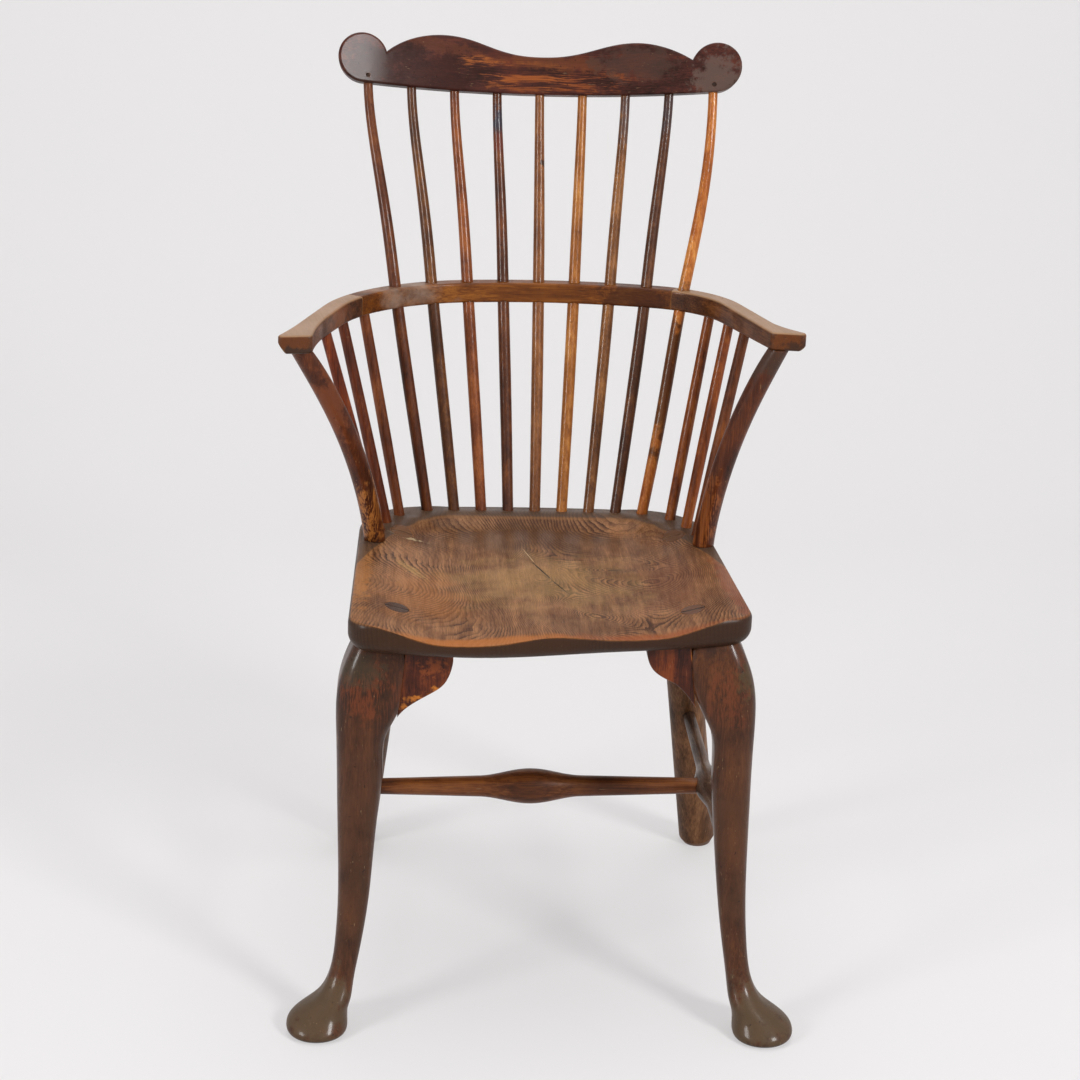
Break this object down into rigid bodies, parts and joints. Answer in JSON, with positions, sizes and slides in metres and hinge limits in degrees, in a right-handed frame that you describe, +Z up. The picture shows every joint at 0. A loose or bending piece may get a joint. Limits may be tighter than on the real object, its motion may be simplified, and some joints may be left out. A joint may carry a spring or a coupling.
{
  "type": "windsor armchair",
  "caption": "Comb-back armchair with a carved saddle seat, bent arm bow, slender back spindles, curved front legs with knee brackets and turned stretchers.",
  "frame": {"origin": "middle of the chair's bounding box in plan, on the floor under the feet", "axes": "+Z up from the floor, +Y from the front edge of the seat to the back, +X to the right as seen from the front"},
  "size_m": [0.5866, 0.6422, 1.0076],
  "materials": {
    "seat_elm": "worn wax over swirling grain",
    "comb_wood": "dark polished red-brown",
    "rail_wood": "worn polish",
    "arm_wood": "worn pale polish",
    "post_wood": "dark polish with wear",
    "leg_wood": "dark reddish polish",
    "rear_leg_wood": "dull worn polish",
    "stretcher_wood": "worn polish",
    "spindle_dark": "dark polish",
    "spindle_light": "worn orange-brown polish",
    "peg_wood": "dark end grain"
  },
  "bodies": {
    "root": {"arm_back_rail": "rail_wood", "arm_left": "arm_wood", "arm_post_left": "post_wood", "arm_post_right": "post_wood", "arm_right": "arm_wood", "comb": "comb_wood", "comb_peg_left": "peg_wood", "comb_peg_right": "peg_wood", "cross_stretcher": "stretcher_wood", "front_leg_left": "leg_wood", "front_leg_right": "leg_wood", "front_leg_wedge_left": "peg_wood", "front_leg_wedge_right": "peg_wood", "knee_bracket_left": "leg_wood", "knee_bracket_right": "leg_wood", "long_spindle_1": "spindle_dark", "long_spindle_2": "spindle_dark", "long_spindle_3": "spindle_dark", "long_spindle_4": "spindle_dark", "long_spindle_5": "spindle_dark", "long_spindle_6": "spindle_light", "long_spindle_7": "spindle_dark", "long_spindle_8": "spindle_dark", "long_spindle_9": "spindle_light", "rear_leg_left": "rear_leg_wood", "rear_leg_right": "rear_leg_wood", "rear_leg_wedge_left": "peg_wood", "rear_leg_wedge_right": "peg_wood", "seat": "seat_elm", "short_spindle_left_1": "spindle_dark", "short_spindle_left_2": "spindle_dark", "short_spindle_left_3": "spindle_dark", "short_spindle_right_1": "spindle_dark", "short_spindle_right_2": "spindle_dark", "short_spindle_right_3": "spindle_dark", "side_stretcher_left": "stretcher_wood", "side_stretcher_right": "stretcher_wood"}
  },
  "joints": []
}
